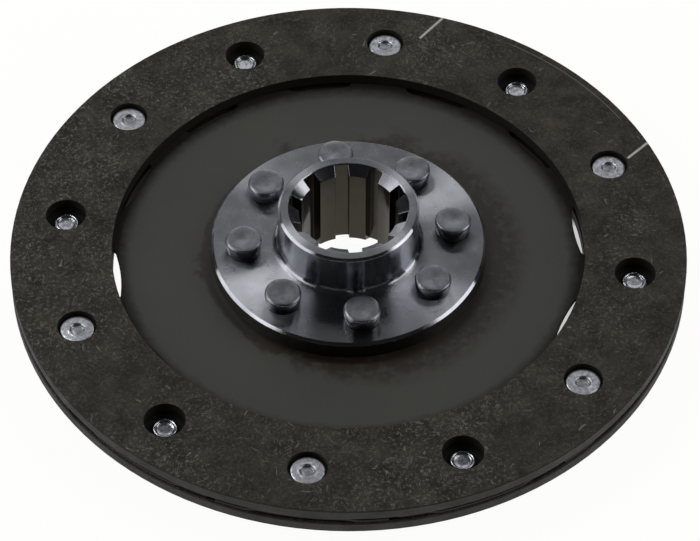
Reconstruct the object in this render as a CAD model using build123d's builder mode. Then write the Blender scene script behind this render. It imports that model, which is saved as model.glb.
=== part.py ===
from build123d import *
import math
import os

os.makedirs("parts", exist_ok=True)

# Clutch disc with a rigid splined hub. Millimetres, +Z up. The origin is on the axis, at the lower end
# of the hub, which is what the disc stands on. +X runs through a slot of the plate and a hub rivet.

# Friction linings
lining_outer_d = 200.0
lining_inner_d = 140.0
lining_thickness = 3.5
lining_edge_break = 0.3

# Rivets that hold the linings, in counterbored holes of their own lining. The rolled ends lie in the
# clearance holes of the other lining.
rivets_per_lining = 6
lining_counterbore_d = 11.4
lining_clearance_hole_d = 12.0
lining_web = 1.0
lining_rivet_head_d = 10.0
lining_rivet_head_height = 1.2
lining_rivet_head_break = 0.2
lining_rivet_recess_d = 4.3
lining_rivet_recess_depth = 0.5
lining_rivet_shank_d = 5.0
rolled_end_d = 7.0
rolled_end_height = 0.9
rolled_end_inner_d = 5.0
rolled_end_pan_depth = 0.6
rolled_end_slope = 0.4
rivet_hole_clearance = 0.1

# Carrier plate: a flat disc and one waved paddle for each lining rivet
plate_z = 11.2
sheet_thickness = 1.0
cushion_gap = 2.0
plate_bore_clearance = 0.5
paddle_rim_clearance = 0.6
slot_inner_d = 135.6
slot_width = 4.0
slot_length = 20.0
slot_bow_r = 50.0
slit_width = 2.5
neck_start = 1.5
neck_run = 2.0
neck_overlap = 0.5
wave_crest_half_width = 12.5
wave_ramp_width = 3.5

# Hub
hub_length = 31.4
barrel_d = 41.5
barrel_chamfer = 0.7
flange_d = 81.5
flange_thickness = 5.7
flange_chamfer = 0.8
flange_root_fillet = 2.0
spline_count = 10
spline_minor_d = 29.0
spline_major_d = 35.0
spline_groove_width = 4.1
bore_lead_in_d = 35.6
bore_lead_in_depth = 2.1

# Rivets that hold the hub to the plate
hub_rivet_count = 8
hub_rivet_circle_d = 62.2
hub_rivet_shank_d = 7.0
hub_rivet_head_d = 10.7
hub_rivet_head_foot_d = 9.8
hub_rivet_head_height = 4.7
hub_rivet_head_bevel = 0.6
hub_rivet_closed_head_d = 10.0
hub_rivet_closed_head_height = 2.8
hub_rivet_closed_head_bevel = 1.3

paddle_count = 2 * rivets_per_lining
paddle_pitch = 360 / paddle_count
slot_outer_r = slot_inner_d / 2 + slot_width
flat_disc_r = slot_inner_d / 2 + neck_start
lining_rivet_circle_r = (lining_outer_d + lining_inner_d) / 4
paddle_outer_d = lining_outer_d - 2 * paddle_rim_clearance
flange_seat_z = plate_z + sheet_thickness / 2
flange_top_z = flange_seat_z + flange_thickness
plate_underside_z = plate_z - sheet_thickness / 2

# The middle plane of the sheet, as seen from above and, turned over about X, from below. Each lining
# and its rivets are built on one of the two, so the lower ones are the upper ones turned over.
upper_side = Plane.XY.offset(plate_z)
lower_side = upper_side.rotated((180, 0, 0))


# The upright plane through the axis of the disc at an angle, with its x pointing outwards.
def radial_plane(angle):
    across = math.cos(math.radians(angle))
    along = math.sin(math.radians(angle))
    return Plane(origin=(0, 0, 0), x_dir=(across, along, 0), z_dir=(along, -across, 0))


# A friction lining: its own rivets sit in counterbores at the middles of every second paddle, and the
# holes between them clear the rolled ends of the other lining's rivets.
def make_lining(side):
    with BuildPart() as ring:
        with BuildSketch(side.offset(cushion_gap / 2)):
            Circle(lining_outer_d / 2)
            Circle(lining_inner_d / 2, mode=Mode.SUBTRACT)
            with PolarLocations(lining_rivet_circle_r, rivets_per_lining, start_angle=paddle_pitch / 2):
                Circle((lining_rivet_shank_d + rivet_hole_clearance) / 2, mode=Mode.SUBTRACT)
            with PolarLocations(lining_rivet_circle_r, rivets_per_lining, start_angle=paddle_pitch * 1.5):
                Circle(lining_clearance_hole_d / 2, mode=Mode.SUBTRACT)
        extrude(amount=lining_thickness)
        with BuildSketch(side.offset(cushion_gap / 2 + lining_web)):
            with PolarLocations(lining_rivet_circle_r, rivets_per_lining, start_angle=paddle_pitch / 2):
                Circle(lining_counterbore_d / 2)
        extrude(amount=lining_thickness - lining_web, mode=Mode.SUBTRACT)
        outer_wall = ring.faces().filter_by(GeomType.CYLINDER).sort_by(SortBy.RADIUS)[-1]
        chamfer(outer_wall.edges().filter_by(GeomType.CIRCLE), length=lining_edge_break)
    return ring


upper_lining = make_lining(upper_side)
upper_lining.part.label = "upper_lining"
export_step(upper_lining.part, "parts/upper_lining.step")

lower_lining = make_lining(lower_side)
lower_lining.part.label = "lower_lining"
export_step(lower_lining.part, "parts/lower_lining.step")


# Rivet of a lining, on its own axis, with the middle plane of the sheet at z = 0 and its head up. The
# head bears on the web of the lining, and the rolled end bears on the far face of the sheet.
head_seat = cushion_gap / 2 + lining_web
head_top = head_seat + lining_rivet_head_height
sheet_far_face = cushion_gap / 2 - sheet_thickness
rolled_end_top = sheet_far_face - rolled_end_height

with BuildPart() as lining_rivet:
    with BuildSketch(Plane.XZ):
        with BuildLine():
            Polyline(
                (0, head_top - lining_rivet_recess_depth),
                (lining_rivet_recess_d / 2, head_top - lining_rivet_recess_depth),
                (lining_rivet_recess_d / 2, head_top),
                (lining_rivet_head_d / 2 - lining_rivet_head_break, head_top),
                (lining_rivet_head_d / 2, head_top - lining_rivet_head_break),
                (lining_rivet_head_d / 2, head_seat),
                (lining_rivet_shank_d / 2, head_seat),
                (lining_rivet_shank_d / 2, sheet_far_face),
                (rolled_end_d / 2, sheet_far_face),
                (rolled_end_d / 2, rolled_end_top + rolled_end_slope),
                (rolled_end_d / 2 - rolled_end_slope, rolled_end_top),
                (rolled_end_inner_d / 2 + rolled_end_slope / 2, rolled_end_top),
                (rolled_end_inner_d / 2, rolled_end_top + rolled_end_pan_depth),
                (0, rolled_end_top + rolled_end_pan_depth),
                close=True,
            )
        make_face()
    revolve(axis=Axis.Z)

for side_name, side in (("upper", upper_side), ("lower", lower_side)):
    for number in range(rivets_per_lining):
        turn = math.radians(paddle_pitch * (0.5 + 2 * number))
        spot = Location((lining_rivet_circle_r * math.cos(turn), lining_rivet_circle_r * math.sin(turn), 0))
        node_name = f"{side_name}_lining_rivet_{number + 1}"
        with BuildPart() as placed_rivet:
            with Locations(side.location * spot):
                add(lining_rivet.part)
        placed_rivet.part.label = node_name
        export_step(placed_rivet.part, f"parts/{node_name}.step")


# One raised paddle, along +X. Its crest lies against the upper lining and its two ends against the
# lower one, so the pair of linings is cushioned when it is pressed together.
crest_lift = (cushion_gap - sheet_thickness) / 2
crest_z = plate_z + crest_lift
end_z = plate_z - crest_lift
wave_end = wave_crest_half_width + wave_ramp_width
blade_half_width = paddle_outer_d / 2 * math.sin(math.radians(paddle_pitch / 2))
blade_start = slot_outer_r * math.cos(math.radians(paddle_pitch / 2)) - neck_overlap
slit_apex = slit_width / 2 / math.sin(math.radians(paddle_pitch / 2))
neck_half_angle = math.degrees(math.asin(wave_crest_half_width / slot_outer_r))
half_sheet = sheet_thickness / 2

with BuildPart() as raised_paddle:
    # The wave, drawn across the paddle and run outwards
    with BuildSketch(Plane.YZ.offset(blade_start)):
        with BuildLine():
            Polyline(
                (-blade_half_width, end_z + half_sheet),
                (-wave_end, end_z + half_sheet),
                (-wave_crest_half_width, crest_z + half_sheet),
                (wave_crest_half_width, crest_z + half_sheet),
                (wave_end, end_z + half_sheet),
                (blade_half_width, end_z + half_sheet),
                (blade_half_width, end_z - half_sheet),
                (wave_end, end_z - half_sheet),
                (wave_crest_half_width, crest_z - half_sheet),
                (-wave_crest_half_width, crest_z - half_sheet),
                (-wave_end, end_z - half_sheet),
                (-blade_half_width, end_z - half_sheet),
                close=True,
            )
        make_face()
    extrude(amount=paddle_outer_d / 2 - blade_start)

    # Its outline, between the slits on either side
    with BuildSketch(Plane.XY):
        Circle(paddle_outer_d / 2)
        Circle(slot_outer_r, mode=Mode.SUBTRACT)
        with BuildLine():
            Polyline(
                (slit_apex, 0),
                (slit_apex + paddle_outer_d, paddle_outer_d * math.tan(math.radians(paddle_pitch / 2))),
                (slit_apex + paddle_outer_d, -paddle_outer_d * math.tan(math.radians(paddle_pitch / 2))),
                close=True,
            )
        make_face(mode=Mode.INTERSECT)
    extrude(amount=plate_z + cushion_gap, mode=Mode.INTERSECT)

    # The neck between two slots, which climbs from the flat disc to the crest
    with BuildSketch(radial_plane(-neck_half_angle)):
        with BuildLine():
            Polyline(
                (flat_disc_r - neck_overlap, plate_z + half_sheet),
                (flat_disc_r, plate_z + half_sheet),
                (flat_disc_r + neck_run, crest_z + half_sheet),
                (slot_outer_r + neck_overlap, crest_z + half_sheet),
                (slot_outer_r + neck_overlap, crest_z - half_sheet),
                (flat_disc_r + neck_run, crest_z - half_sheet),
                (flat_disc_r, plate_z - half_sheet),
                (flat_disc_r - neck_overlap, plate_z - half_sheet),
                close=True,
            )
        make_face()
    revolve(axis=Axis.Z, revolution_arc=2 * neck_half_angle)

    with BuildSketch(Plane.XY):
        with Locations((lining_rivet_circle_r, 0)):
            Circle((lining_rivet_shank_d + rivet_hole_clearance) / 2)
    extrude(amount=plate_z + cushion_gap, mode=Mode.SUBTRACT)

with BuildPart() as lowered_paddle:
    mirror(raised_paddle.part, about=upper_side)

with BuildPart() as carrier_plate:
    with BuildSketch(Plane.XY.offset(plate_underside_z)):
        Circle(flat_disc_r)
        Circle((barrel_d + plate_bore_clearance) / 2, mode=Mode.SUBTRACT)
        with PolarLocations(hub_rivet_circle_d / 2, hub_rivet_count):
            Circle((hub_rivet_shank_d + rivet_hole_clearance) / 2, mode=Mode.SUBTRACT)
    extrude(amount=sheet_thickness)
    with PolarLocations(0, rivets_per_lining, start_angle=paddle_pitch / 2):
        add(raised_paddle.part)
    with PolarLocations(0, rivets_per_lining, start_angle=paddle_pitch * 1.5):
        add(lowered_paddle.part)

    # The round-ended bars of the T-shaped slots, which bow towards the axis
    bow_centre = slot_inner_d / 2 + slot_width / 2 + slot_bow_r
    bow_half_angle = math.degrees((slot_length - slot_width) / 2 / slot_bow_r)
    bar_line = CenterArc(
        (bow_centre, 0), slot_bow_r, 180 - bow_half_angle, 2 * bow_half_angle, mode=Mode.PRIVATE
    )
    with BuildSketch(Plane.XY):
        with PolarLocations(0, paddle_count):
            SlotArc(bar_line, slot_width)
    extrude(amount=plate_z + cushion_gap, mode=Mode.SUBTRACT)

carrier_plate.part.label = "carrier_plate"
export_step(carrier_plate.part, "parts/carrier_plate.step")


# Hub, turned in one piece with its flange
with BuildPart() as hub:
    with BuildSketch(Plane.XZ):
        with BuildLine():
            Polyline(
                (bore_lead_in_d / 2, 0),
                (barrel_d / 2, 0),
                (barrel_d / 2, flange_seat_z),
                (flange_d / 2, flange_seat_z),
                (flange_d / 2, flange_top_z),
                (barrel_d / 2, flange_top_z),
                (barrel_d / 2, hub_length),
                (bore_lead_in_d / 2, hub_length),
                (spline_minor_d / 2, hub_length - bore_lead_in_depth),
                (spline_minor_d / 2, bore_lead_in_depth),
                close=True,
            )
        make_face()
    revolve(axis=Axis.Z)
    rims = hub.edges().filter_by(GeomType.CIRCLE).group_by(SortBy.RADIUS)
    flange_rims = rims[-1].sort_by(Axis.Z)
    barrel_rims = rims[-2].sort_by(Axis.Z)
    chamfer([barrel_rims[0], barrel_rims[-1]], length=barrel_chamfer)
    chamfer(flange_rims[-1], length=flange_chamfer)
    fillet(barrel_rims[-2], radius=flange_root_fillet)

    # The grooves of the spline, one of them on +Y
    with BuildSketch(Plane.XY):
        with PolarLocations(0, spline_count, start_angle=90):
            Rectangle(spline_major_d, spline_groove_width, align=(Align.MIN, Align.CENTER))
        Circle(spline_major_d / 2, mode=Mode.INTERSECT)
    extrude(amount=hub_length, mode=Mode.SUBTRACT)

    with BuildSketch(Plane.XY.offset(flange_seat_z)):
        with PolarLocations(hub_rivet_circle_d / 2, hub_rivet_count):
            Circle((hub_rivet_shank_d + rivet_hole_clearance) / 2)
    extrude(amount=flange_thickness, mode=Mode.SUBTRACT)

hub.part.label = "hub"
export_step(hub.part, "parts/hub.step")


# Rivet of the hub, on its own axis: a tall head on the flange that narrows to its foot, and a closed
# head under the plate
hub_rivet_head_top = flange_top_z + hub_rivet_head_height
closed_head_tip = plate_underside_z - hub_rivet_closed_head_height

with BuildPart() as hub_rivet:
    with BuildSketch(Plane.XZ):
        with BuildLine():
            Polyline(
                (0, hub_rivet_head_top),
                (hub_rivet_head_d / 2 - hub_rivet_head_bevel, hub_rivet_head_top),
                (hub_rivet_head_d / 2, hub_rivet_head_top - hub_rivet_head_bevel),
                (hub_rivet_head_foot_d / 2, flange_top_z),
                (hub_rivet_shank_d / 2, flange_top_z),
                (hub_rivet_shank_d / 2, plate_underside_z),
                (hub_rivet_closed_head_d / 2, plate_underside_z),
                (hub_rivet_closed_head_d / 2, closed_head_tip + hub_rivet_closed_head_bevel),
                (hub_rivet_closed_head_d / 2 - hub_rivet_closed_head_bevel, closed_head_tip),
                (0, closed_head_tip),
                close=True,
            )
        make_face()
    revolve(axis=Axis.Z)

for number in range(hub_rivet_count):
    turn = math.radians(360 / hub_rivet_count * number)
    spot = (hub_rivet_circle_d / 2 * math.cos(turn), hub_rivet_circle_d / 2 * math.sin(turn), 0)
    node_name = f"hub_rivet_{number + 1}"
    with BuildPart() as placed_rivet:
        with Locations(spot):
            add(hub_rivet.part)
    placed_rivet.part.label = node_name
    export_step(placed_rivet.part, f"parts/{node_name}.step")
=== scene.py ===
import bmesh
import bpy
import math
import random
from mathutils import Matrix, Vector


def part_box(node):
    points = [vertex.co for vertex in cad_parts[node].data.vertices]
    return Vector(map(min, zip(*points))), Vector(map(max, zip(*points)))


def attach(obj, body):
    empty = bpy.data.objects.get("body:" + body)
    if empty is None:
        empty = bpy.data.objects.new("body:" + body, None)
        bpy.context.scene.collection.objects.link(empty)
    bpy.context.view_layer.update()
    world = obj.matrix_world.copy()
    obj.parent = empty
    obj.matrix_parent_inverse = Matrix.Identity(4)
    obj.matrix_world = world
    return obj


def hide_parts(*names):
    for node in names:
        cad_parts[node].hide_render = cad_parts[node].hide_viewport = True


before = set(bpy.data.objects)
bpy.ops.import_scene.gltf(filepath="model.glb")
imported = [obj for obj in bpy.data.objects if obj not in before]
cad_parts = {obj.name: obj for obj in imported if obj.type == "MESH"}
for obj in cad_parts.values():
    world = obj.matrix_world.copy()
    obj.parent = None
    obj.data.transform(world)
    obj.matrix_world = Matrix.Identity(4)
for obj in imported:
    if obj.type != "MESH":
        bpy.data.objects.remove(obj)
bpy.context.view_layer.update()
print("frame loaded")

mm = 0.001


def toLinear(hexColour):
    channels = [int(hexColour[i:i + 2], 16) / 255 for i in (1, 3, 5)]
    return [c / 12.92 if c <= 0.04045 else ((c + 0.055) / 1.055) ** 2.4 for c in channels] + [1.0]


# Adds one node. Inputs are values or the outputs of other nodes, stops are those of a colour ramp.
def addNode(tree, kind, inputs=None, stops=(), **settings):
    node = tree.nodes.new(kind)
    for name, value in settings.items():
        setattr(node, name, value)
    for socket, value in (inputs or {}).items():
        if isinstance(value, bpy.types.NodeSocket):
            tree.links.new(value, node.inputs[socket])
        else:
            node.inputs[socket].default_value = value
    for i, (place, colour) in enumerate(stops):
        element = node.color_ramp.elements[i] if i < 2 else node.color_ramp.elements.new(place)
        element.position = place
        element.color = toLinear(colour) if isinstance(colour, str) else (colour, colour, colour, 1)
    return node


def newMaterial(name):
    material = bpy.data.materials.new(name)
    material.use_nodes = True
    material.node_tree.nodes.clear()
    return material, material.node_tree


def newObject(name, data):
    made = bpy.data.objects.new(name, data)
    bpy.context.scene.collection.objects.link(made)
    return made


# The direction of a bearing, counted from +X, and an elevation, both in degrees
def direction(bearing, elevation):
    turn, rise = math.radians(bearing), math.radians(elevation)
    return Vector((math.cos(turn) * math.cos(rise), math.sin(turn) * math.cos(rise), math.sin(rise)))


# The camera, at the photograph's own angle
camera = {
    "lens": 177.17,
    "sensorWidth": 36,
    "nearest": 0.05,
    "farthest": 30,
    "aim": (-0.41 * mm, -6.74 * mm, 11.2 * mm),
    "distance": 1018.4 * mm,
    "elevation": 48.557,
    "bearing": -97.36,
    "roll": 0.132,
}


def makeCamera(values):
    data = bpy.data.cameras.new("camera")
    data.lens = values["lens"]
    data.sensor_width = values["sensorWidth"]
    data.sensor_fit = "HORIZONTAL"
    data.clip_start = values["nearest"]
    data.clip_end = values["farthest"]
    away = direction(values["bearing"], values["elevation"])
    seat = Vector(values["aim"]) + away * values["distance"]
    level = away.to_track_quat("Z", "Y").to_matrix()
    facing = level @ Matrix.Rotation(math.radians(values["roll"]), 3, "Z")
    made = newObject("camera", data)
    made.matrix_world = Matrix.Translation(seat) @ facing.to_4x4()
    bpy.context.scene.camera = made


# The studio: soft boxes at the sides and behind, hardly anything from the camera's side
studio = {
    "world": 0.015,
    "boxes": [
        # name, bearing, elevation, distance, width, height, radiance
        ("boxKey", 124, 56.5, 1.7, 0.50, 0.34, 3.3),
        ("boxLeft", 176, 28, 1.6, 1.6, 1.2, 1.25),
        ("boxRightHigh", 47, 60, 1.6, 0.5, 0.3, 1.2),
        ("boxRight", 350, 28, 1.6, 1.0, 1.2, 1.5),
        ("boxBehind", 80, 33, 1.9, 1.1, 1.1, 0.44),
        ("boxLow", 90, 8, 2.2, 3.4, 0.5, 0.9),
    ],
}


def makeStudio(values):
    world = bpy.data.worlds.new("studio")
    world.use_nodes = True
    backdrop = world.node_tree.nodes["Background"]
    backdrop.inputs["Color"].default_value = (values["world"],) * 3 + (1,)
    backdrop.inputs["Strength"].default_value = 1
    bpy.context.scene.world = world
    bpy.context.scene.view_settings.view_transform = "Standard"
    for name, bearing, elevation, distance, width, height, radiance in values["boxes"]:
        data = bpy.data.lights.new(name, "AREA")
        data.shape = "RECTANGLE"
        data.size = width
        data.size_y = height
        data.energy = radiance * 4 * width * height
        away = direction(bearing, elevation)
        facing = away.to_track_quat("Z", "Y").to_matrix().to_4x4()
        lamp = newObject(name, data)
        lamp.matrix_world = Matrix.Translation(away * distance) @ facing


floorSheet = {
    "size": 9.0,
    "paper": "#5A5A59",
    "glow": "#FFFFFE",
    "strength": 0.955,
    "shadedStrength": 0.01,
    # The shade is a ring. It grows between the first two radii and fades between the last two.
    "shadeRing": (44 * mm, 60 * mm, 78 * mm, 92 * mm),
    "backwards": (0.104, 1, 0),
    "backShade": (17 * mm, 23 * mm),
    "rightShade": (40 * mm, 52 * mm),
    "rightShare": 0.4,
}


# Paper sweep lit from below, as the photograph's cut-out background is: nearly white. Under the back of
# the disc its glow is painted down to a painted shadow, so no light shows through the slots there, and on
# the right it is painted greyer, a lighter painted shade.
def litPaper(values):
    material, tree = newMaterial("litPaper")
    place = addNode(tree, "ShaderNodeTexCoord").outputs["Object"]
    radius = addNode(tree, "ShaderNodeVectorMath", {0: place}, operation="LENGTH").outputs["Value"]
    grows, full, fades, gone = values["shadeRing"]
    outward = addNode(tree, "ShaderNodeMapRange", {"Value": radius, "From Min": grows, "From Max": full})
    inward = addNode(tree, "ShaderNodeMapRange", {"Value": radius, "From Min": gone, "From Max": fades})
    back = addNode(tree, "ShaderNodeVectorMath", {0: place, 1: values["backwards"]},
                   operation="DOT_PRODUCT")
    behind = addNode(tree, "ShaderNodeMapRange", {
        "Value": back.outputs["Value"],
        "From Min": values["backShade"][0], "From Max": values["backShade"][1]})
    right = addNode(tree, "ShaderNodeVectorMath", {0: place, 1: (1, 0, 0)}, operation="DOT_PRODUCT")
    dimmed = addNode(tree, "ShaderNodeMapRange", {
        "Value": right.outputs["Value"], "From Min": values["rightShade"][0],
        "From Max": values["rightShade"][1], "To Max": values["rightShare"]})
    deeper = addNode(tree, "ShaderNodeMath", {0: behind.outputs[0], 1: dimmed.outputs[0]},
                     operation="MAXIMUM")
    ring = addNode(tree, "ShaderNodeMath", {0: inward.outputs[0], 1: outward.outputs[0]},
                   operation="MULTIPLY")
    shade = addNode(tree, "ShaderNodeMath", {0: ring.outputs[0], 1: deeper.outputs[0]},
                    operation="MULTIPLY")
    strength = addNode(tree, "ShaderNodeMapRange", {
        "Value": shade.outputs[0], "To Min": values["strength"], "To Max": values["shadedStrength"]})
    paper = addNode(tree, "ShaderNodeBsdfDiffuse", {"Color": toLinear(values["paper"])})
    glow = addNode(tree, "ShaderNodeEmission", {"Color": toLinear(values["glow"]),
                                                "Strength": strength.outputs[0]})
    both = addNode(tree, "ShaderNodeAddShader", {0: paper.outputs[0], 1: glow.outputs[0]})
    addNode(tree, "ShaderNodeOutputMaterial", {"Surface": both.outputs[0]})
    return material


def makeFloor(values):
    mesh = bpy.data.meshes.new("floor")
    bm = bmesh.new()
    bmesh.ops.create_grid(bm, x_segments=1, y_segments=1, size=values["size"] / 2)
    bm.to_mesh(mesh)
    bm.free()
    mesh.materials.append(litPaper(values))
    floor = newObject("floor", mesh)


makeCamera(camera)
makeStudio(studio)
makeFloor(floorSheet)
print("studio and camera set")


# Object coordinates turned to millimetres, so that each pattern's scale is one over its real size
def millimetres(tree):
    place = addNode(tree, "ShaderNodeTexCoord").outputs["Object"]
    return addNode(tree, "ShaderNodeMapping", {"Vector": place, "Scale": (1 / mm,) * 3}).outputs[0]


# Distance from the disc's axis, in millimetres
def axisDistance(tree, place):
    flat = addNode(tree, "ShaderNodeVectorMath", {0: place, 1: (1, 1, 0)}, operation="MULTIPLY")
    return addNode(tree, "ShaderNodeVectorMath", {0: flat.outputs[0]}, operation="LENGTH").outputs["Value"]


# 1 on faces whose normal rises less than the lower slope, 0 where it rises more than the higher one
def upright(tree, higher=0.45, lower=0.25):
    normal = addNode(tree, "ShaderNodeTexCoord").outputs["Normal"]
    rise = addNode(tree, "ShaderNodeSeparateXYZ", {"Vector": normal}).outputs["Z"]
    slope = addNode(tree, "ShaderNodeMath", {0: rise}, operation="ABSOLUTE")
    return addNode(tree, "ShaderNodeMapRange", {"Value": slope.outputs[0], "From Min": higher,
                                                "From Max": lower}).outputs[0]


# Cells of a jittered grid that bends with a slow noise, each turned its own way. Gives the place within
# the cell and the cell's own random colour.
def turnedCells(tree, place, size, bend, shift):
    moved = addNode(tree, "ShaderNodeVectorMath", {0: place, 1: (shift, shift * 0.7, 0)}, operation="ADD")
    slow = addNode(tree, "ShaderNodeTexNoise", {"Vector": moved.outputs[0], "Scale": 1 / bend, "Detail": 1})
    bent = addNode(tree, "ShaderNodeVectorMath", {
        0: slow.outputs["Color"], 1: (bend, bend, 0), 2: moved.outputs[0]}, operation="MULTIPLY_ADD")
    cell = addNode(tree, "ShaderNodeTexVoronoi", {"Vector": bent.outputs[0], "Scale": 1 / size},
                   voronoi_dimensions="2D")
    fromMiddle = addNode(tree, "ShaderNodeVectorMath", {0: bent.outputs[0], 1: cell.outputs["Position"]},
                         operation="SUBTRACT")
    chance = addNode(tree, "ShaderNodeSeparateColor", {"Color": cell.outputs["Color"]})
    angle = addNode(tree, "ShaderNodeMath", {0: chance.outputs[0], 1: 2 * math.pi}, operation="MULTIPLY")
    turned = addNode(tree, "ShaderNodeVectorRotate", {
        "Vector": fromMiddle.outputs[0], "Angle": angle.outputs[0]}, rotation_type="Z_AXIS")
    return turned.outputs[0], cell.outputs["Color"]


# One short fibre in a share of the cells. Gives a mask from 0 to 1.
def fibreLayer(tree, place, spacing, bend, length, width, share, shift):
    within, chances = turnedCells(tree, place, spacing, bend, shift)
    apart = addNode(tree, "ShaderNodeSeparateXYZ", {"Vector": within})
    along = addNode(tree, "ShaderNodeMath", {0: apart.outputs["X"]}, operation="ABSOLUTE")
    across = addNode(tree, "ShaderNodeMath", {0: apart.outputs["Y"]}, operation="ABSOLUTE")
    inLength = addNode(tree, "ShaderNodeMapRange", {
        "Value": along.outputs[0], "From Min": length / 2, "From Max": length / 4})
    inWidth = addNode(tree, "ShaderNodeMapRange", {
        "Value": across.outputs[0], "From Min": width, "From Max": width / 4})
    fibre = addNode(tree, "ShaderNodeMath", {0: inLength.outputs[0], 1: inWidth.outputs[0]},
                    operation="MULTIPLY")
    chance = addNode(tree, "ShaderNodeSeparateColor", {"Color": chances})
    kept = addNode(tree, "ShaderNodeMapRange", {"Value": chance.outputs[1], "From Min": 1 - share,
                                                "From Max": 1})
    return addNode(tree, "ShaderNodeMath", {0: fibre.outputs[0], 1: kept.outputs[0]},
                   operation="MULTIPLY").outputs[0]


# Strands lying in small bundles, one direction to a cell: a noise drawn out along the strands
def bundleLayer(tree, place, patch, length, width, shift):
    within, chances = turnedCells(tree, place, patch, patch, shift)
    drawnOut = addNode(tree, "ShaderNodeVectorMath", {0: within, 1: (1 / length, 1 / width, 0)},
                       operation="MULTIPLY")
    farApart = (40, 40, 40)  # so that no cell repeats the strands of the next one
    ownPlace = addNode(tree, "ShaderNodeVectorMath", {0: chances, 1: farApart, 2: drawnOut.outputs[0]},
                       operation="MULTIPLY_ADD")
    return addNode(tree, "ShaderNodeTexNoise", {
        "Vector": ownPlace.outputs[0], "Scale": 1, "Detail": 2, "Roughness": 0.6}).outputs["Fac"]


# A straight painted line between two places on the face. It fades softly at its ends and its sides.
def paintLine(tree, place, start, end, width):
    softEnd, softOut, softIn = 0.15, 0.12, 0.08  # in mm, from its outline
    start, end = Vector(start), Vector(end)
    along = (end - start).normalized()
    middle = (start + end) / 2
    fromMiddle = addNode(tree, "ShaderNodeVectorMath", {0: place, 1: (middle.x, middle.y, 0)},
                         operation="SUBTRACT")
    lengthwise = addNode(tree, "ShaderNodeVectorMath", {0: fromMiddle.outputs[0], 1: (along.x, along.y, 0)},
                         operation="DOT_PRODUCT")
    sideways = addNode(tree, "ShaderNodeVectorMath", {0: fromMiddle.outputs[0], 1: (-along.y, along.x, 0)},
                       operation="DOT_PRODUCT")
    reach = addNode(tree, "ShaderNodeMath", {0: lengthwise.outputs["Value"]}, operation="ABSOLUTE")
    offset = addNode(tree, "ShaderNodeMath", {0: sideways.outputs["Value"]}, operation="ABSOLUTE")
    half = (end - start).length / 2
    inLength = addNode(tree, "ShaderNodeMapRange", {
        "Value": reach.outputs[0], "From Min": half + softEnd, "From Max": half - softEnd})
    inWidth = addNode(tree, "ShaderNodeMapRange", {
        "Value": offset.outputs[0], "From Min": width / 2 + softOut, "From Max": width / 2 - softIn})
    return addNode(tree, "ShaderNodeMath", {0: inLength.outputs[0], 1: inWidth.outputs[0]},
                   operation="MULTIPLY").outputs[0]


# All sizes here and in the other looks are in millimetres
liningLook = {
    "deep": "#2F2B24",
    "body": "#403C34",
    "light": "#524D44",
    "fibre": "#B4B1A7",
    "paint": "#E0DFD8",
    "cutEdge": "#28292C",
    # Painted shade for the walls of the holes and the bore and for the faces between the parts
    "wallShade": "#24211B",
    "mottle": 7.0,
    "grain": 0.55,
    "relief": 0.12,
    # Real strands are much finer, and these are as fine as the render can show
    "bundles": [
        # patch, length, width, shift
        (6.0, 1.5, 0.38, 0),
        (4.5, 1.2, 0.3, 53),
    ],
    # spacing, bend, length, width, share, shift
    "fibres": (4.2, 5, 2.4, 0.26, 0.2, 71),
    "fibreShare": 0.5,
    "strandBreak": 1.1,
    "strandPatch": 26,
    "strandGlintSide": (-0.0012, -0.0002, 0),
    "roughness": 0.68,
    "outerR": 100.0,
    "rimEdge": (0.45, 0.15),
    "rimDepth": 1,
    "middleZ": 11.2,
    "skinDepth": 1.1,
    "upperFaceZ": 15.2,
    "scratchR": 97.6,
    "scratchBearing": 38,
    # Where it begins and where it is full, as the cosines of the bearings off its middle
    "scratchEnds": (0.966, 0.975),
    "scratchWidths": (0.06, 0.22),
    "scratchShare": 0.4,
    "paintWidth": 0.75,
    "paintLines": [((33.0, 82.7), (41.3, 90.6)), ((88.2, 23.8), (95.3, 29.4))],
}


# Pale strands in bundles all over, bolder in patches, bolder towards one side as a painted glint of the
# light from that side, and a few single fibres
def strandMask(tree, place, values):
    mats = [bundleLayer(tree, place, *bundle) for bundle in values["bundles"]]
    both = addNode(tree, "ShaderNodeMath", {0: mats[0], 1: mats[1]}, operation="MAXIMUM")
    strands = addNode(tree, "ShaderNodeMapRange", {"Value": both.outputs[0], "From Min": 0.53,
                                                   "From Max": 0.74})
    patches = addNode(tree, "ShaderNodeTexNoise", {"Vector": place, "Scale": 1 / values["strandPatch"],
                                                   "Detail": 4})
    # Bolder towards one side: painted glint of the side light
    glintSide = addNode(tree, "ShaderNodeVectorMath", {0: place, 1: values["strandGlintSide"]},
                      operation="DOT_PRODUCT")
    uneven = addNode(tree, "ShaderNodeMath", {0: patches.outputs["Fac"], 1: glintSide.outputs["Value"]},
                     operation="ADD")
    patchy = addNode(tree, "ShaderNodeMapRange", {"Value": uneven.outputs[0], "From Min": 0.42,
                                                  "From Max": 0.66, "To Min": 0.12, "To Max": 0.46})
    breaks = addNode(tree, "ShaderNodeTexNoise", {"Vector": place, "Scale": 1 / values["strandBreak"],
                                                  "Detail": 1})
    broken = addNode(tree, "ShaderNodeMapRange", {"Value": breaks.outputs["Fac"], "From Min": 0.42,
                                                  "From Max": 0.58, "To Max": 1.5})
    short = addNode(tree, "ShaderNodeMath", {0: strands.outputs[0], 1: broken.outputs[0]},
                    operation="MULTIPLY")
    lit = addNode(tree, "ShaderNodeMath", {0: short.outputs[0], 1: patchy.outputs[0]},
                  operation="MULTIPLY")
    single = fibreLayer(tree, place, *values["fibres"])
    return addNode(tree, "ShaderNodeMath", {0: single, 1: values["fibreShare"], 2: lit.outputs[0]},
                   operation="MULTIPLY_ADD", use_clamp=True).outputs[0]


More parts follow.
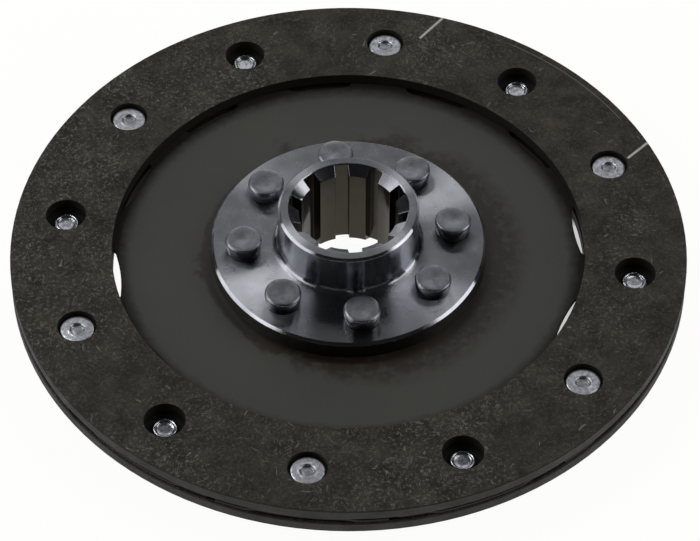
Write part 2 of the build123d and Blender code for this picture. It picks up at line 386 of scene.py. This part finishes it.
# A faint scratch that follows the outer edge for a part of the way
def scratchMask(tree, place, radius, values):
    toScratch = addNode(tree, "ShaderNodeMath", {0: radius, 1: values["scratchR"]}, operation="SUBTRACT")
    offScratch = addNode(tree, "ShaderNodeMath", {0: toScratch.outputs[0]}, operation="ABSOLUTE")
    thin = addNode(tree, "ShaderNodeMapRange", {
        "Value": offScratch.outputs[0], "From Min": values["scratchWidths"][1],
        "From Max": values["scratchWidths"][0]})
    toward = addNode(tree, "ShaderNodeVectorMath", {
        0: place, 1: direction(values["scratchBearing"], 0)}, operation="DOT_PRODUCT")
    within = addNode(tree, "ShaderNodeMapRange", {
        "Value": toward.outputs["Value"], "From Min": values["scratchR"] * values["scratchEnds"][0],
        "From Max": values["scratchR"] * values["scratchEnds"][1], "To Max": values["scratchShare"]})
    return addNode(tree, "ShaderNodeMath", {0: thin.outputs[0], 1: within.outputs[0]},
                   operation="MULTIPLY").outputs[0]


# Moulded organic friction material: resin, filler and chopped glass fibre, pressed and ground flat.
# Dull brown-black, mottled, with pale fibre ends lying in its face and a greyer, ground edge.
def frictionLining(values):
    material, tree = newMaterial("mouldedFrictionLining")
    place = millimetres(tree)
    radius = axisDistance(tree, place)
    height = addNode(tree, "ShaderNodeSeparateXYZ", {"Vector": place}).outputs["Z"]
    mottle = addNode(tree, "ShaderNodeTexNoise", {"Vector": place, "Scale": 1 / values["mottle"],
                                                  "Detail": 5, "Roughness": 0.62})
    body = addNode(tree, "ShaderNodeValToRGB", {"Fac": mottle.outputs["Fac"]},
                   stops=[(0.30, values["deep"]), (0.52, values["body"]), (0.74, values["light"])])
    grain = addNode(tree, "ShaderNodeTexNoise", {"Vector": place, "Scale": 1 / values["grain"],
                                                 "Detail": 2, "Roughness": 0.7})
    grainTone = addNode(tree, "ShaderNodeValToRGB", {"Fac": grain.outputs["Fac"]},
                        stops=[(0.33, 0.32), (0.68, 0.78)])
    grained = addNode(tree, "ShaderNodeMix", {
        0: 0.62, 6: body.outputs["Color"], 7: grainTone.outputs["Color"]},
        data_type="RGBA", blend_type="OVERLAY")
    fibres = strandMask(tree, place, values)
    fibred = addNode(tree, "ShaderNodeMix", {
        0: fibres, 6: grained.outputs[2], 7: toLinear(values["fibre"])}, data_type="RGBA")
    # The outer rim is ground, so it is greyer and shows no fibres
    rim = addNode(tree, "ShaderNodeMapRange", {
        "Value": radius, "From Min": values["outerR"] - values["rimEdge"][0],
        "From Max": values["outerR"] - values["rimEdge"][1]})
    rimTone = addNode(tree, "ShaderNodeMix", {
        0: 0.3, 6: toLinear(values["cutEdge"]), 7: grained.outputs[2]}, data_type="RGBA")
    rimmed = addNode(tree, "ShaderNodeMix", {
        0: rim.outputs[0], 6: fibred.outputs[2], 7: rimTone.outputs[2]}, data_type="RGBA")
    # The walls of the holes and of the bore, and the two faces that look at each other, are painted dark:
    # painted shade in the hollows and between the parts
    inside = addNode(tree, "ShaderNodeMath", {0: radius, 1: values["outerR"] - values["rimDepth"]},
                     operation="LESS_THAN")
    between = addNode(tree, "ShaderNodeMath", {0: height, 1: values["middleZ"], 2: values["skinDepth"]},
                      operation="COMPARE")
    paintedWallShade = addNode(tree, "ShaderNodeMath", {0: upright(tree), 1: between.outputs[0]},
                      operation="MAXIMUM")
    walls = addNode(tree, "ShaderNodeMath", {0: paintedWallShade.outputs[0], 1: inside.outputs[0]},
                    operation="MULTIPLY")
    edged = addNode(tree, "ShaderNodeMix", {
        0: walls.outputs[0], 6: rimmed.outputs[2], 7: toLinear(values["wallShade"])}, data_type="RGBA")
    # The upper face alone has the scratch and two plain painted lines, worn thin by the grain
    onTop = addNode(tree, "ShaderNodeMath", {0: height, 1: values["upperFaceZ"]},
                    operation="GREATER_THAN")
    scratch = addNode(tree, "ShaderNodeMath", {
        0: scratchMask(tree, place, radius, values), 1: onTop.outputs[0]}, operation="MULTIPLY")
    scratched = addNode(tree, "ShaderNodeMix", {
        0: scratch.outputs[0], 6: edged.outputs[2], 7: toLinear(values["fibre"])}, data_type="RGBA")
    lines = [paintLine(tree, place, start, end, values["paintWidth"])
             for start, end in values["paintLines"]]
    both = addNode(tree, "ShaderNodeMath", {0: lines[0], 1: lines[1]}, operation="ADD")
    shown = addNode(tree, "ShaderNodeMath", {0: both.outputs[0], 1: onTop.outputs[0]},
                    operation="MULTIPLY")
    wear = addNode(tree, "ShaderNodeMapRange", {"Value": grain.outputs["Fac"], "From Min": 0.30,
                                                "From Max": 0.46, "To Min": 0.5})
    worn = addNode(tree, "ShaderNodeMath", {0: shown.outputs[0], 1: wear.outputs[0]},
                   operation="MULTIPLY")
    painted = addNode(tree, "ShaderNodeMix", {
        0: worn.outputs[0], 6: scratched.outputs[2], 7: toLinear(values["paint"])}, data_type="RGBA")
    relief = addNode(tree, "ShaderNodeMath", {0: grain.outputs["Fac"], 1: fibres}, operation="ADD")
    bump = addNode(tree, "ShaderNodeBump", {"Height": relief.outputs[0], "Strength": 0.5,
                                            "Distance": values["relief"] * mm})
    dull = addNode(tree, "ShaderNodeMapRange", {
        "Value": mottle.outputs["Fac"], "From Min": 0.3, "From Max": 0.7,
        "To Min": values["roughness"] + 0.08, "To Max": values["roughness"] - 0.08})
    shader = addNode(tree, "ShaderNodeBsdfPrincipled", {
        "Base Color": painted.outputs[2], "Roughness": dull.outputs[0], "IOR": 1.5,
        "Specular IOR Level": 0.3, "Normal": bump.outputs[0]})
    addNode(tree, "ShaderNodeOutputMaterial", {"Surface": shader.outputs[0]})
    return material


plateLook = {
    "body": "#454640",
    "light": "#4B4C45",
    "stainAndShadow": "#271C13",
    "liningShadow": "#1E1B17",
    "cloud": 22,
    "grain": 0.4,
    "relief": 0.02,
    "roughness": 0.44,
    "flangeR": 40.75,
    # How far beyond the flange the stain and painted shadow are full, and how far they go at least and at
    # most
    "stainReach": (2, 3.5, 13.5),
    "stainCreep": 18,
    "stainShadowSide": (0.0050, -0.0014, 0),
    "blotch": 3,
    "liningShadowR": 66.0,
    "liningShadowRun": 4.2,
    "liningShadowRagged": 3.0,
    "liningShadowSide": (0.0012, 0.012, 0),
    "liningShadowDull": 0.45,
}


# Cold-rolled spring steel, phosphated black and oiled: smooth, matt, a slightly green dark grey,
# with a brown tinge where oil has crept from under the flange and painted shadow round the flange's foot.
# Its real grain is too fine to show, so it is drawn coarser.
def phosphatedSheet(values):
    material, tree = newMaterial("phosphatedSpringSteel")
    place = millimetres(tree)
    radius = axisDistance(tree, place)
    cloud = addNode(tree, "ShaderNodeTexNoise", {"Vector": place, "Scale": 1 / values["cloud"],
                                                 "Detail": 4})
    body = addNode(tree, "ShaderNodeValToRGB", {"Fac": cloud.outputs["Fac"]},
                   stops=[(0.35, values["body"]), (0.68, values["light"])])
    grain = addNode(tree, "ShaderNodeTexNoise", {"Vector": place, "Scale": 1 / values["grain"],
                                                 "Detail": 2})
    grained = addNode(tree, "ShaderNodeMix", {
        0: 0.3, 6: body.outputs["Color"], 7: grain.outputs["Color"]},
        data_type="RGBA", blend_type="OVERLAY")
    # The oil stain, and with it the painted shadow round the flange's foot, reaches further on one side
    # than on the other
    fullReach, leastReach, mostReach = values["stainReach"]
    creep = addNode(tree, "ShaderNodeTexNoise", {"Vector": place, "Scale": 1 / values["stainCreep"],
                                                 "Detail": 4, "Roughness": 0.6})
    side = addNode(tree, "ShaderNodeVectorMath", {0: place, 1: values["stainShadowSide"]},
                   operation="DOT_PRODUCT")
    sided = addNode(tree, "ShaderNodeMath", {0: creep.outputs["Fac"], 1: side.outputs["Value"]},
                    operation="ADD")
    spread = addNode(tree, "ShaderNodeMapRange", {
        "Value": sided.outputs[0], "From Min": 0.38, "From Max": 0.62,
        "To Min": values["flangeR"] + leastReach, "To Max": values["flangeR"] + mostReach})
    nearFlange = addNode(tree, "ShaderNodeMapRange", {
        "Value": radius, "From Min": spread.outputs[0], "From Max": values["flangeR"] + fullReach})
    blotch = addNode(tree, "ShaderNodeTexNoise", {"Vector": place, "Scale": 1 / values["blotch"],
                                                  "Detail": 4, "Roughness": 0.65})
    blotchy = addNode(tree, "ShaderNodeMapRange", {"Value": blotch.outputs["Fac"], "From Min": 0.36,
                                                   "From Max": 0.6, "To Min": 0.6, "To Max": 2.0})
    stainAndShadow = addNode(tree, "ShaderNodeMath", {0: nearFlange.outputs[0], 1: blotchy.outputs[0]},
                    operation="MULTIPLY", use_clamp=True)
    stainedAndShaded = addNode(tree, "ShaderNodeMix", {
        0: stainAndShadow.outputs[0], 6: grained.outputs[2], 7: toLinear(values["stainAndShadow"])}, data_type="RGBA")
    # Towards the linings and under them it is painted near black, a painted shadow of the linings' inner
    # walls, which comes further in on one side
    offCentre = addNode(tree, "ShaderNodeVectorMath", {0: place, 1: values["liningShadowSide"]},
                        operation="DOT_PRODUCT")
    fromEdge = addNode(tree, "ShaderNodeMath", {0: radius, 1: offCentre.outputs["Value"]},
                       operation="ADD")
    ragged = addNode(tree, "ShaderNodeMath", {
        0: blotch.outputs["Fac"], 1: values["liningShadowRagged"], 2: fromEdge.outputs[0]},
        operation="MULTIPLY_ADD")
    liningShadow = addNode(tree, "ShaderNodeMapRange", {
        "Value": ragged.outputs[0], "From Min": values["liningShadowR"],
        "From Max": values["liningShadowR"] + values["liningShadowRun"]})
    liningShadowed = addNode(tree, "ShaderNodeMix", {
        0: liningShadow.outputs[0], 6: stainedAndShaded.outputs[2], 7: toLinear(values["liningShadow"])},
        data_type="RGBA")
    bump = addNode(tree, "ShaderNodeBump", {"Height": grain.outputs["Fac"], "Strength": 0.15,
                                            "Distance": values["relief"] * mm})
    uneven = addNode(tree, "ShaderNodeMapRange", {
        "Value": cloud.outputs["Fac"], "From Min": 0.3, "From Max": 0.7,
        "To Min": values["roughness"] - 0.05, "To Max": values["roughness"] + 0.06})
    dull = addNode(tree, "ShaderNodeMath", {
        0: liningShadow.outputs[0], 1: values["liningShadowDull"], 2: uneven.outputs[0]},
        operation="MULTIPLY_ADD")
    shader = addNode(tree, "ShaderNodeBsdfPrincipled", {
        "Base Color": liningShadowed.outputs[2], "Roughness": dull.outputs[0], "Specular IOR Level": 0.7,
        "Normal": bump.outputs[0]})
    addNode(tree, "ShaderNodeOutputMaterial", {"Surface": shader.outputs[0]})
    return material


hubLook = {
    "steel": "#BDBFC6",
    "shade": "#A1A2A9",
    "darkTone": "#3C3831",
    "wallShade": "#6A6760",
    "cloud": 14,
    "smear": 4,
    # The real marks are about 0.2 mm apart, too fine to show
    "feed": 0.8,
    "feedDepth": 0.03,
    "roughness": 0.29,
    "barrelRoughness": 0.17,
    "anisotropy": 1.0,
    "boreR": 18.5,
    "flangeFaceR": 40.0,
}


# Carbon steel turned on a lathe: bright, faintly blue, its fine rings of tool marks draw each
# highlight out into a fan across the flange. The broached bore is left oily and browner.
def turnedSteel(values):
    material, tree = newMaterial("turnedSteel")
    place = millimetres(tree)
    radius = axisDistance(tree, place)
    cloud = addNode(tree, "ShaderNodeTexNoise", {"Vector": place, "Scale": 1 / values["cloud"],
                                                 "Detail": 4})
    steel = addNode(tree, "ShaderNodeValToRGB", {"Fac": cloud.outputs["Fac"]},
                    stops=[(0.36, values["shade"]), (0.62, values["steel"])])
    within = addNode(tree, "ShaderNodeMath", {0: radius, 1: values["boreR"]}, operation="LESS_THAN")
    inBore = addNode(tree, "ShaderNodeMath", {0: upright(tree), 1: within.outputs[0]},
                     operation="MULTIPLY")
    darkened = addNode(tree, "ShaderNodeMix", {
        0: inBore.outputs[0], 6: steel.outputs["Color"], 7: toLinear(values["darkTone"])}, data_type="RGBA")
    # The flange's outer wall is painted dark: painted shade
    beyond = addNode(tree, "ShaderNodeMath", {0: radius, 1: values["flangeFaceR"]},
                     operation="GREATER_THAN")
    onWall = addNode(tree, "ShaderNodeMath", {0: upright(tree), 1: beyond.outputs[0]},
                     operation="MULTIPLY")
    paintedWallShade = addNode(tree, "ShaderNodeMix", {
        0: onWall.outputs[0], 6: darkened.outputs[2], 7: toLinear(values["wallShade"])}, data_type="RGBA")
    # Tool marks follow the radius on the flange and the height on the barrel
    height = addNode(tree, "ShaderNodeSeparateXYZ", {"Vector": place}).outputs["Z"]
    feedPlace = addNode(tree, "ShaderNodeMath", {0: radius, 1: height}, operation="ADD")
    marks = addNode(tree, "ShaderNodeTexNoise", {
        "W": feedPlace.outputs[0], "Scale": 1 / values["feed"], "Detail": 3}, noise_dimensions="1D")
    bump = addNode(tree, "ShaderNodeBump", {"Height": marks.outputs["Fac"], "Strength": 0.25,
                                            "Distance": values["feedDepth"] * mm})
    around = addNode(tree, "ShaderNodeVectorMath", {0: (0, 0, 1), 1: place}, operation="CROSS_PRODUCT")
    tangent = addNode(tree, "ShaderNodeVectorMath", {0: around.outputs[0]}, operation="NORMALIZE")
    # The barrel, the fillet and the chamfers are finished finer than the flange
    smear = addNode(tree, "ShaderNodeTexNoise", {"Vector": place, "Scale": 1 / values["smear"],
                                                 "Detail": 5, "Roughness": 0.6})
    uneven = addNode(tree, "ShaderNodeMapRange", {
        "Value": smear.outputs["Fac"], "From Min": 0.3, "From Max": 0.7, "To Min": -0.04,
        "To Max": 0.05})
    finish = addNode(tree, "ShaderNodeMapRange", {
        "Value": upright(tree, 0.97, 0.8), "To Min": values["roughness"],
        "To Max": values["barrelRoughness"]})
    dull = addNode(tree, "ShaderNodeMath", {0: finish.outputs[0], 1: uneven.outputs[0]}, operation="ADD")
    shader = addNode(tree, "ShaderNodeBsdfPrincipled", {
        "Base Color": paintedWallShade.outputs[2], "Metallic": 1, "Roughness": dull.outputs[0],
        "Anisotropic": values["anisotropy"], "Anisotropic Rotation": 0.25,
        "Tangent": tangent.outputs[0], "Normal": bump.outputs[0]})
    addNode(tree, "ShaderNodeOutputMaterial", {"Surface": shader.outputs[0]})
    return material


hubRivetLook = {
    "steel": "#A4A5AC",
    "dark": "#818289",
    # The painted shade on the sides of the heads
    "darkTone": "#2C2B29",
    "cloud": 3,
    "scuff": 0.9,
    "scuffDepth": 0.05,
    "roughness": 0.30,
    "sideRoughness": 0.18,
    "footZ": 17.4,
    # How far from the foot the painted shade is full, and how far it goes
    "footShadeReach": (1.6, 3.7),
    "footShadeShare": 0.9,
}


# Cold-headed mild steel: satin grey, pressed smooth on its head, with faint scuffs from the die
def headedSteel(values):
    material, tree = newMaterial("coldHeadedSteel")
    place = millimetres(tree)
    cloud = addNode(tree, "ShaderNodeTexNoise", {"Vector": place, "Scale": 1 / values["cloud"],
                                                 "Detail": 5, "Roughness": 0.6})
    steel = addNode(tree, "ShaderNodeValToRGB", {"Fac": cloud.outputs["Fac"]},
                    stops=[(0.32, values["dark"]), (0.60, values["steel"])])
    # Each upper head's side is painted darker towards its foot: painted shade
    height = addNode(tree, "ShaderNodeSeparateXYZ", {"Vector": place}).outputs["Z"]
    above = addNode(tree, "ShaderNodeMath", {0: height, 1: values["footZ"]}, operation="SUBTRACT")
    fromFoot = addNode(tree, "ShaderNodeMath", {0: above.outputs[0]}, operation="ABSOLUTE")
    foot = addNode(tree, "ShaderNodeMapRange", {
        "Value": fromFoot.outputs[0], "From Min": values["footShadeReach"][1],
        "From Max": values["footShadeReach"][0], "To Max": values["footShadeShare"]})
    darkened = addNode(tree, "ShaderNodeMix", {
        0: foot.outputs[0], 6: steel.outputs["Color"], 7: toLinear(values["darkTone"])}, data_type="RGBA")
    scuff = addNode(tree, "ShaderNodeTexNoise", {"Vector": place, "Scale": 1 / values["scuff"],
                                                 "Detail": 4})
    bump = addNode(tree, "ShaderNodeBump", {"Height": scuff.outputs["Fac"], "Strength": 0.3,
                                            "Distance": values["scuffDepth"] * mm})
    uneven = addNode(tree, "ShaderNodeMapRange", {
        "Value": cloud.outputs["Fac"], "From Min": 0.3, "From Max": 0.7, "To Min": 0.08,
        "To Max": -0.05})
    finish = addNode(tree, "ShaderNodeMapRange", {
        "Value": upright(tree), "To Min": values["roughness"], "To Max": values["sideRoughness"]})
    dull = addNode(tree, "ShaderNodeMath", {0: finish.outputs[0], 1: uneven.outputs[0]}, operation="ADD")
    shader = addNode(tree, "ShaderNodeBsdfPrincipled", {
        "Base Color": darkened.outputs[2], "Metallic": 1, "Roughness": dull.outputs[0],
        "Normal": bump.outputs[0]})
    addNode(tree, "ShaderNodeOutputMaterial", {"Surface": shader.outputs[0]})
    return material


liningRivetLook = {
    "alloy": "#E9ECF3",
    "shade": "#B0B3BC",
    "grimeAndShade": "#5C5C60",
    "cloud": 1.2,
    "dentDepth": 0.08,
    "roughness": 0.35,
    "rolledRoughness": 0.18,
    # Between these distances from the plate's middle the rolled end gives way to the head
    "rolledReach": (0.95, 2),
    "plateZ": 11.2,
    # How deep the ramp of dust and painted shade goes, then its stops: a share of that depth and how much
    # dust and shade is there
    "dustShadeDepth": 4,
    "dustAndShade": [(0.10, 0.12), (0.14, 0.0), (0.50, 0.0), (0.60, 0.34), (0.67, 0.85), (0.76, 0.0)],
}


# Semi-tubular rivets of aluminium, tumbled before use: pale cool grey, satin, dented by the setting tool
def tumbledAluminium(values):
    material, tree = newMaterial("tumbledAluminium")
    place = millimetres(tree)
    cloud = addNode(tree, "ShaderNodeTexNoise", {"Vector": place, "Scale": 1 / values["cloud"],
                                                 "Detail": 4, "Roughness": 0.6})
    alloy = addNode(tree, "ShaderNodeValToRGB", {"Fac": cloud.outputs["Fac"]},
                    stops=[(0.33, values["shade"]), (0.60, values["alloy"])])
    # Lining dust lies in the hollow of each head and inside each rolled end, with painted shade in the
    # hollows and on the head's sides down in their holes
    height = addNode(tree, "ShaderNodeSeparateXYZ", {"Vector": place}).outputs["Z"]
    level = addNode(tree, "ShaderNodeMath", {0: height, 1: values["plateZ"]}, operation="SUBTRACT")
    depth = addNode(tree, "ShaderNodeMath", {0: level.outputs[0]}, operation="ABSOLUTE")
    share = addNode(tree, "ShaderNodeMath", {0: depth.outputs[0], 1: 1 / values["dustShadeDepth"]},
                    operation="MULTIPLY")
    dustAndShade = addNode(tree, "ShaderNodeValToRGB", {"Fac": share.outputs[0]}, stops=values["dustAndShade"])
    dustedAndShaded = addNode(tree, "ShaderNodeMix", {
        0: dustAndShade.outputs["Color"], 6: alloy.outputs["Color"], 7: toLinear(values["grimeAndShade"])},
        data_type="RGBA")
    bump = addNode(tree, "ShaderNodeBump", {"Height": cloud.outputs["Fac"], "Strength": 0.4,
                                            "Distance": values["dentDepth"] * mm})
    # The rolled ends are burnished by the tool that turned them over
    uneven = addNode(tree, "ShaderNodeMapRange", {
        "Value": cloud.outputs["Fac"], "From Min": 0.3, "From Max": 0.7, "To Min": 0.08,
        "To Max": -0.08})
    finish = addNode(tree, "ShaderNodeMapRange", {
        "Value": depth.outputs[0], "From Min": values["rolledReach"][0],
        "From Max": values["rolledReach"][1], "To Min": values["rolledRoughness"],
        "To Max": values["roughness"]})
    dull = addNode(tree, "ShaderNodeMath", {0: finish.outputs[0], 1: uneven.outputs[0]}, operation="ADD")
    shader = addNode(tree, "ShaderNodeBsdfPrincipled", {
        "Base Color": dustedAndShaded.outputs[2], "Metallic": 1, "Roughness": dull.outputs[0],
        "Normal": bump.outputs[0]})
    addNode(tree, "ShaderNodeOutputMaterial", {"Surface": shader.outputs[0]})
    return material


def finishPiece(bm, name, material, node):
    mesh = bpy.data.meshes.new(name)
    for face in bm.faces:
        face.smooth = True
    bm.to_mesh(mesh)
    bm.free()
    mesh.materials.append(material)
    piece = newObject(name, mesh)
    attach(piece, "root")
    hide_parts(node)
    return piece


edgeWork = {
    "merge": 0.005 * mm,
    "flatAngle": 0.3,
    "sharpAngle": 28,
    "weight": 80,
}


# A merged copy of a CAD node with its sharp edges broken
def breakEdges(node, name, material, width, segments):
    bm = bmesh.new()
    bm.from_mesh(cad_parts[node].data)
    bmesh.ops.remove_doubles(bm, verts=bm.verts, dist=edgeWork["merge"])
    bmesh.ops.dissolve_limit(bm, angle_limit=math.radians(edgeWork["flatAngle"]), verts=bm.verts,
                             edges=bm.edges)
    piece = finishPiece(bm, name, material, node)
    for attribute in ("custom_normal", "sharp_edge", "sharp_face"):
        if attribute in piece.data.attributes:
            piece.data.attributes.remove(piece.data.attributes[attribute])
    bevel = piece.modifiers.new("edges", "BEVEL")
    bevel.limit_method = "ANGLE"
    bevel.angle_limit = math.radians(edgeWork["sharpAngle"])
    bevel.width = width
    bevel.segments = segments
    bevel.use_clamp_overlap = True
    weighted = piece.modifiers.new("normals", "WEIGHTED_NORMAL")
    weighted.weight = edgeWork["weight"]


# Spins a profile of radii and heights, from the axis to the axis, into a closed solid
def spinProfile(profile, steps):
    sameSpot = 0.002 * mm
    bm = bmesh.new()
    verts = [bm.verts.new((radius * mm, 0, height * mm)) for radius, height in profile]
    edges = [bm.edges.new(pair) for pair in zip(verts, verts[1:])]
    bmesh.ops.spin(bm, geom=verts + edges, cent=(0, 0, 0), axis=(0, 0, 1), angle=2 * math.pi, steps=steps,
                   use_merge=True)
    bmesh.ops.remove_doubles(bm, verts=bm.verts, dist=sameSpot)
    bmesh.ops.recalc_face_normals(bm, faces=bm.faces)
    return bm


def turnAbout(bm, axis, angle):
    bmesh.ops.rotate(bm, verts=bm.verts, cent=(0, 0, 0), matrix=Matrix.Rotation(angle, 3, axis))


def middleOf(node):
    low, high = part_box(node)
    return (low + high) / 2


linings = {"edge": 0.08 * mm, "segments": 2}


def makeLinings(values):
    material = frictionLining(liningLook)
    for side in ("upper", "lower"):
        breakEdges(f"{side}_lining", f"{side}FrictionLining", material, values["edge"],
                   values["segments"])


plate = {"edge": 0.12 * mm, "segments": 2}


def makePlate(values):
    breakEdges("carrier_plate", "wavedCarrierPlate", phosphatedSheet(plateLook),
               values["edge"], values["segments"])


hub = {"edge": 0.18 * mm, "segments": 3}


def makeHub(values):
    breakEdges("hub", "splinedHub", turnedSteel(hubLook), values["edge"], values["segments"])


hubRivets = {
    "count": 8,
    "steps": 72,
    "seed": 11,
    # What lies above topFrom leans by up to topLean and is a little lower
    "topFrom": 21.5 * mm,
    "topLean": 0.012,
    "topSink": 0.03 * mm,
    # Radius and height in mm, from the middle of the head to the middle of the closed head
    "profile": [
        (0, 21.86), (0.9, 21.88), (1.8, 21.95), (2.8, 22.03), (3.8, 22.06), (4.6, 22.07), (4.95, 22.02),
        (5.17, 21.86), (5.29, 21.6), (5.34, 21.25), (5.34, 20.7), (5.28, 19.8), (5.12, 18.8),
        (4.95, 17.9), (4.88, 17.4), (3.5, 17.4), (3.5, 10.7), (4.95, 10.7), (5.0, 10.4), (4.97, 9.8),
        (4.8, 9.2), (4.45, 8.65), (3.9, 8.2), (3.2, 8.0), (2.2, 7.93), (1.0, 7.9), (0, 7.9)],
}


def makeHubRivets(values):
    material = headedSteel(hubRivetLook)
    chance = random.Random(values["seed"])
    for number in range(1, values["count"] + 1):
        bm = spinProfile(values["profile"], values["steps"])
        node = f"hub_rivet_{number}"
        spot = middleOf(node)
        # Each head is upset a little unevenly
        lean = Vector((chance.uniform(-1, 1), chance.uniform(-1, 1), 0)) * values["topLean"]
        for vert in bm.verts:
            if vert.co.z > values["topFrom"]:
                vert.co.z += lean.dot(vert.co) - values["topSink"]
        turnAbout(bm, "Z", chance.uniform(0, 6))
        bmesh.ops.translate(bm, verts=bm.verts, vec=(spot.x, spot.y, 0))
        finishPiece(bm, f"hubRivet{number}", material, node)


liningRivets = {
    "count": 6,
    "steps": 56,
    "seed": 5,
    "plateZ": 11.2 * mm,
    # Radius and height above the sheet's middle, in mm, from the middle of the head to the middle of the
    # rolled end
    "profile": [
        (0, 2.46), (0.8, 2.45), (1.45, 2.4), (1.72, 2.36), (1.86, 2.42), (1.93, 2.62), (1.98, 2.86),
        (2.08, 3.06), (2.25, 3.18), (2.45, 3.21), (2.65, 3.19), (2.85, 3.14), (3.3, 3.12), (4.3, 3.11),
        (4.8, 3.08), (5.02, 2.96), (5.1, 2.78), (5.12, 2.5), (5.1, 2.1), (5.0, 2.0), (2.5, 2.0),
        (2.5, 0.0), (3.45, 0.0), (3.6, -0.12), (3.65, -0.4), (3.6, -0.66), (3.44, -0.84), (3.2, -0.91),
        (2.96, -0.88), (2.8, -0.76), (2.7, -0.56), (2.6, -0.4), (2.35, -0.33), (1.2, -0.34), (0, -0.35)],
}


def makeLiningRivets(values):
    material = tumbledAluminium(liningRivetLook)
    chance = random.Random(values["seed"])
    for side in ("upper", "lower"):
        for number in range(1, values["count"] + 1):
            bm = spinProfile(values["profile"], values["steps"])
            node = f"{side}_lining_rivet_{number}"
            spot = middleOf(node)
            # Those of the lower lining are set from below
            if side == "lower":
                turnAbout(bm, "X", math.pi)
            turnAbout(bm, "Z", chance.uniform(0, 6))
            bmesh.ops.translate(bm, verts=bm.verts, vec=(spot.x, spot.y, values["plateZ"]))
            finishPiece(bm, f"{side}LiningRivet{number}", material, node)


makeLinings(linings)
print("linings made")
makePlate(plate)
print("carrier plate made")
makeHub(hub)
print("hub made")
makeHubRivets(hubRivets)
print("hub rivets made")
makeLiningRivets(liningRivets)
print("lining rivets made")
